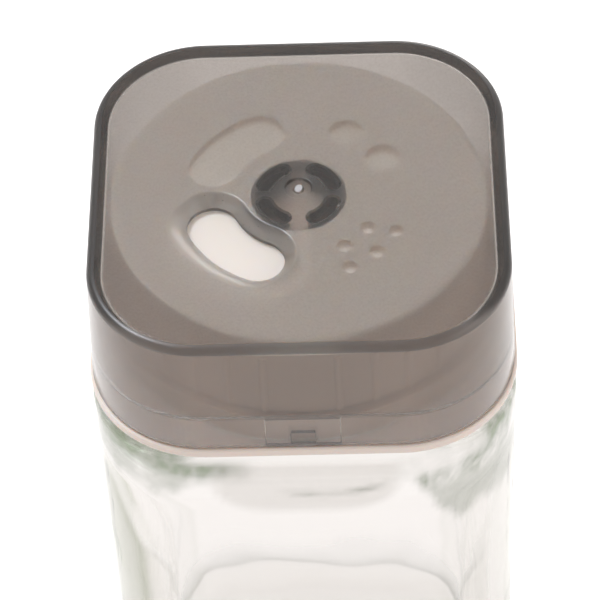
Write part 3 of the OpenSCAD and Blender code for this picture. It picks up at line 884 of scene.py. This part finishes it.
def glassBottle(s, high):
    bm = bmesh.new()
    rim, half = high.z / mm, high.x / mm
    shoulder = rim - s["neckHeight"]
    c = half - s["cornerRadius"]
    outer, inner = s["cornerRadius"], s["cornerRadius"] - s["wall"]
    roof = shoulder - s["shoulder"]
    fractions = [2 * (i + 1) / (s["sideSteps"] + 1) - 1 for i in range(s["sideSteps"])]

    def ring(centre, reach, z):
        return addRing(bm, squareRing(centre, reach, z, [f * centre for f in fractions], s["arcSteps"]))

    def fillet(centre, *arc):
        return [ring(centre, reach, z) for reach, z in arcPoints(*arc)]

    def climb(fromZ, toZ, steps):  # heights strictly between two levels
        return [fromZ + (toZ - fromZ) * (i + 1) / (steps + 1) for i in range(steps)]

    heel, sr, n = s["heelRadius"], s["shoulderRadius"], s["filletSteps"]
    hollow, hr = outer - heel - s["standing"], s["hollowRadius"]
    upper = shoulder - s["upperDepth"]
    rings = fillet(c, hollow - hr, s["pushUp"] - hr, hr, 90, 0, n)
    rings += [ring(c, hollow + s["support"], 0)]
    rings += fillet(c, outer - heel, heel, heel, -90, 0, n)
    rings += [ring(c, outer, z) for z in climb(heel, upper, s["wallSteps"])]
    rings += [ring(c, outer, z) for z in climb(upper, shoulder - sr, s["upperSteps"])]
    rings += fillet(c, outer - sr, shoulder - sr, sr, 0, 90, n)
    bodyRings = len(rings)
    rings += [ring(c, outer - sr - s["support"], shoulder)]
    neck, foot, rr, m = s["neckRadius"], s["neckFoot"], s["rimRadius"], s["neckFilletSteps"]
    rings += [ring(0, neck + foot + s["neckSupport"], shoulder)]
    rings += fillet(0, neck + foot, shoulder + foot, foot, -90, -180, m)
    for z in climb(shoulder + foot, rim - rr, s["neckSteps"]):
        rings.append(ring(0, lambda angle: neck + threadRise(threadSettings, angle, z, rim), z))
    rings += fillet(0, neck - rr, rim - rr, rr, 0, 90, m)
    mouth, throat = s["mouthRadius"], s["throatRadius"]
    rings += fillet(0, mouth + rr, rim - rr, rr, 90, 180, m)
    rings += [ring(0, mouth, z) for z in climb(rim - rr, roof + throat, m)]
    rings += fillet(0, mouth + throat, roof + throat, throat, 180, 270, m)
    cavityRings = len(rings)
    cavityRoof, cavityFloor = s["cavityRoofRadius"], s["cavityFloorRadius"]
    rings += fillet(c, inner - cavityRoof, roof - cavityRoof, cavityRoof, s["cavityRoofDeg"], 0, n)
    rings += [ring(c, inner, z) for z in climb(roof - cavityRoof, s["floor"] + cavityFloor, s["wallSteps"])]
    rings += fillet(c, inner - cavityFloor, s["floor"] + cavityFloor, cavityFloor, 0, -90, n)
    rings += [ring(c, inner - cavityFloor - s["support"], s["floor"])]
    joinRings(bm, rings)
    bm.faces.new(rings[0])
    bm.faces.new(rings[-1])
    for number, points in enumerate(rings):  # pressed glass is uneven, more so inside
        depth = s["outerWave"] if number < bodyRings else s["innerWave"] if number >= cavityRings else 0
        for vert in points:
            away = Vector((vert.co.x, vert.co.y, 0)).normalized()
            swell = noise.noise(vert.co / s["waveMm"])
            swell += s["rippleShare"] * noise.noise(vert.co / s["waveMm"] * s["rippleScale"])
            vert.co += away * depth * swell
    piece = makePiece(meshSettings, bm, "glassBottle", glassMaterial)
    piece.data.attributes.new("thick", "FLOAT_COLOR", "POINT")
    piece.data.attributes.new("soft", "FLOAT", "POINT")
    thick, soft = piece.data.attributes["thick"].data, piece.data.attributes["soft"].data
    for vert in piece.data.vertices:
        x, y, z = vert.co / mm
        reach = math.hypot(max(abs(x) - c, 0), max(abs(y) - c, 0))
        color, softness = (1, 1, 1, 1), 0.0
        if reach > outer - s["shoulderRadius"] - s["outsideSlack"]:
            color = thickTint(tintSettings, x, y, shoulder - z, c)
        elif reach < inner + s["insideSlack"] and z > s["floor"] - s["insideSlack"]:
            softness = 1 - ease(*s["softHeights"], z)
            share = 1 - ease(*(s["floor"] + rise for rise in s["floorFade"]), z)
            color = [1 - share * (1 - v) for v in hexColor(s["floorColor"])]
        thick[vert.index].color, soft[vert.index].value = color, softness
    return piece


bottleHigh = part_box("glass_bottle")[1]
bottlePiece = glassBottle(bottleSettings, bottleHigh)
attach(bottlePiece, "bottle")
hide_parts("glass_bottle")
print("glass bottle made")


# Thread in the drum, half a pitch below the neck's
drumThreadSettings = {
    "radius": 21.75,
    "beadRadius": 0.85,
    "pitch": threadSettings["pitch"],
    "turns": threadSettings["turns"],
    "startBelowRim": 10.4,
    "stepsPerTurn": 96,
    "beadSteps": 14,
    "fadeShare": 0.08,
    "endShare": 0.3,  # of its radius, at the ends
}


def threadTree(s, material):
    tree = bpy.data.node_groups.new("drumThread", "GeometryNodeTree")
    for name in ("Turns", "Pitch", "Radius", "Bead", "Start"):
        tree.interface.new_socket(name, in_out="INPUT", socket_type="NodeSocketFloat")
    tree.interface.new_socket("Steps", in_out="INPUT", socket_type="NodeSocketInt")
    tree.interface.new_socket("Geometry", in_out="OUTPUT", socket_type="NodeSocketGeometry")
    given = addNode(tree, "NodeGroupInput")
    height = addNode(tree, "ShaderNodeMath", settings=multiply,
                     links={0: given.outputs["Turns"], 1: given.outputs["Pitch"]})
    spiral = addNode(tree, "GeometryNodeCurveSpiral", inputs={"Reverse": True},
                     links={"Rotations": given.outputs["Turns"], "Height": height.outputs["Value"],
                            "Start Radius": given.outputs["Radius"], "End Radius": given.outputs["Radius"],
                            "Resolution": given.outputs["Steps"]})
    lift = addNode(tree, "ShaderNodeCombineXYZ", links={"Z": given.outputs["Start"]})
    raised = addNode(tree, "GeometryNodeSetPosition",
                     links={"Geometry": spiral.outputs["Curve"], "Offset": lift.outputs["Vector"]})
    along = addNode(tree, "GeometryNodeSplineParameter")
    left = addNode(tree, "ShaderNodeMath", settings={"operation": "SUBTRACT"}, inputs={0: 1.0},
                   links={1: along.outputs["Factor"]})
    nearEnd = addNode(tree, "ShaderNodeMath", settings={"operation": "MINIMUM"},
                      links={0: along.outputs["Factor"], 1: left.outputs["Value"]})
    fade = addNode(tree, "ShaderNodeMapRange", inputs={"From Max": s["fadeShare"], "To Min": s["endShare"]},
                   links={"Value": nearEnd.outputs["Value"]})
    tapered = addNode(tree, "GeometryNodeSetCurveRadius",
                      links={"Curve": raised.outputs["Geometry"], "Radius": fade.outputs["Result"]})
    profile = addNode(tree, "GeometryNodeCurvePrimitiveCircle", inputs={"Resolution": s["beadSteps"]},
                      links={"Radius": given.outputs["Bead"]})
    bead = addNode(tree, "GeometryNodeCurveToMesh", inputs={"Fill Caps": True},
                   links={"Curve": tapered.outputs["Curve"], "Profile Curve": profile.outputs["Curve"]})
    smooth = addNode(tree, "GeometryNodeSetShadeSmooth", links={"Geometry": bead.outputs["Mesh"]})
    whole = addNode(tree, "GeometryNodeRealizeInstances", links={"Geometry": smooth.outputs["Geometry"]})
    finished = addNode(tree, "GeometryNodeSetMaterial", inputs={"Material": material},
                       links={"Geometry": whole.outputs["Geometry"]})
    addNode(tree, "NodeGroupOutput", links={"Geometry": finished.outputs["Geometry"]})
    return tree


def drumThread(s, rim):
    piece = bpy.data.objects.new("drumThread", bpy.data.meshes.new("drumThreadStart"))
    bpy.context.scene.collection.objects.link(piece)
    modifier = piece.modifiers.new("thread", "NODES")
    modifier.node_group = threadTree(s, creamMaterial)
    values = {"Turns": s["turns"], "Pitch": s["pitch"] * mm, "Radius": s["radius"] * mm,
              "Bead": s["beadRadius"] * mm, "Start": (rim - s["startBelowRim"]) * mm,
              "Steps": int(s["stepsPerTurn"] * s["turns"])}
    for item in modifier.node_group.interface.items_tree:
        if item.in_out == "INPUT":
            modifier[item.identifier] = values[item.name]
    depsgraph = bpy.context.evaluated_depsgraph_get()
    mesh = bpy.data.meshes.new_from_object(piece.evaluated_get(depsgraph))
    piece.modifiers.clear()
    piece.data = mesh
    mesh.name = "drumThread"
    return piece


threadPiece = drumThread(drumThreadSettings, bottleHigh.z / mm)
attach(threadPiece, "shaker_cap")
print("drum thread made:", len(threadPiece.data.vertices), "points")


# CAD nodes that stay, with their finish
for node, material in (("inner_cap", creamMaterial), ("seal_ring", siliconeMaterial)):
    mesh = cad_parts[node].data
    mesh.materials.clear()
    mesh.materials.append(material)
print("inner cap and seal finished")


# Floor, light and background
stageSettings = {
    "floorSize": 4.0,  # metres
    "floorDrop": 0.0002,  # metres, clear of the base
    "floorColor": "#eceae8",
    "floorLift": 0.5,  # added where the floor is seen directly, so that it is white and keeps its shadow
    "glassColor": "#f6f0ed",  # the same where it is seen through glass
    "glassShare": 0.9,
    "worldColor": "#fffefd",
    "worldSeen": 1.0,
    "worldGlass": 0.9,
    "worldLight": 0.6,
    "bounces": 32,
}


def studio(s):
    scene = bpy.context.scene
    scene.cycles.max_bounces = s["bounces"]
    scene.cycles.transmission_bounces = s["bounces"]
    scene.cycles.glossy_bounces = s["bounces"]  # light piped along the glass walls reflects many times
    scene.view_settings.view_transform = "Standard"
    bm = bmesh.new()
    bmesh.ops.create_grid(bm, x_segments=1, y_segments=1, size=s["floorSize"] / 2)
    mesh = bpy.data.meshes.new("floor")
    bm.to_mesh(mesh)
    bm.free()
    floor = bpy.data.objects.new("floor", mesh)
    floor.location.z = -s["floorDrop"]
    scene.collection.objects.link(floor)
    material, tree = newMaterial("paleFloor")
    path = addNode(tree, "ShaderNodeLightPath")
    seen = addNode(tree, "ShaderNodeMath", settings={"operation": "MAXIMUM"},
                   links={0: path.outputs["Is Camera Ray"], 1: path.outputs["Is Glossy Ray"]})
    lift = addNode(tree, "ShaderNodeMath", settings=multiply, inputs={1: s["floorLift"]},
                   links={0: seen.outputs["Value"]})
    through = addNode(tree, "ShaderNodeMath", settings=multiply, inputs={1: s["glassShare"]},
                      links={0: path.outputs["Is Transmission Ray"]})
    shader = addNode(tree, "ShaderNodeBsdfDiffuse", inputs={"Color": hexColor(s["floorColor"])})
    glow = addNode(tree, "ShaderNodeEmission", inputs={"Color": hexColor(s["floorColor"])},
                   links={"Strength": lift.outputs["Value"]})
    lifted = addNode(tree, "ShaderNodeAddShader",
                     links={0: shader.outputs["BSDF"], 1: glow.outputs["Emission"]})
    white = addNode(tree, "ShaderNodeEmission", inputs={"Color": hexColor(s["glassColor"]), "Strength": 1.0})
    both = addNode(tree, "ShaderNodeMixShader",
                   links={0: through.outputs["Value"], 1: lifted.outputs["Shader"],
                          2: white.outputs["Emission"]})
    addNode(tree, "ShaderNodeOutputMaterial", links={"Surface": both.outputs["Shader"]})
    mesh.materials.append(material)
    world = bpy.data.worlds.new("studio")
    scene.world = world
    world.use_nodes = True
    tree = world.node_tree
    tree.nodes.clear()
    path = addNode(tree, "ShaderNodeLightPath")
    mirror = addNode(tree, "ShaderNodeMath", settings={"operation": "MAXIMUM"},
                     links={0: path.outputs["Is Camera Ray"], 1: path.outputs["Is Glossy Ray"]})
    direct = addNode(tree, "ShaderNodeMapRange", inputs={"To Min": s["worldLight"], "To Max": s["worldSeen"]},
                     links={"Value": mirror.outputs["Value"]})
    through = addNode(tree, "ShaderNodeMapRange", inputs={"To Max": s["worldGlass"]},
                      links={"Value": path.outputs["Is Transmission Ray"]})
    strength = addNode(tree, "ShaderNodeMath", settings={"operation": "MAXIMUM"},
                       links={0: direct.outputs["Result"], 1: through.outputs["Result"]})
    light = addNode(tree, "ShaderNodeBackground", inputs={"Color": hexColor(s["worldColor"])},
                    links={"Strength": strength.outputs["Value"]})
    addNode(tree, "ShaderNodeOutputWorld", links={"Surface": light.outputs["Background"]})


# Soft boxes: place, aim and size in metres, power in watts
lampSettings = (
    {"name": "topLamp", "place": (-0.46, 0.25, 1.05), "aim": (0, 0, 0.1), "size": 0.4, "power": 7.1,
     "color": "#f4f7ff"},
    {"name": "backLamp", "place": (0.22, 0.94, 0.37), "aim": (0, 0, 0.1), "size": 0.42, "power": 1.7,
     "color": "#fbf8f6"},
    {"name": "fillLamp", "place": (0.6, -0.3, 0.3), "aim": (0, 0, 0.1), "size": 0.5, "power": 0.9,
     "color": "#fff4ee"},
)


def softBoxes(lamps):
    for s in lamps:
        data = bpy.data.lights.new(s["name"], "AREA")
        data.size = s["size"]
        data.energy = s["power"]
        data.color = hexColor(s["color"])[:3]
        lamp = bpy.data.objects.new(s["name"], data)
        lamp.location = s["place"]
        aim = Vector(s["aim"]) - Vector(s["place"])
        lamp.rotation_euler = aim.to_track_quat("-Z", "Y").to_euler()
        bpy.context.scene.collection.objects.link(lamp)


studio(stageSettings)
softBoxes(lampSettings)
print("stage set")
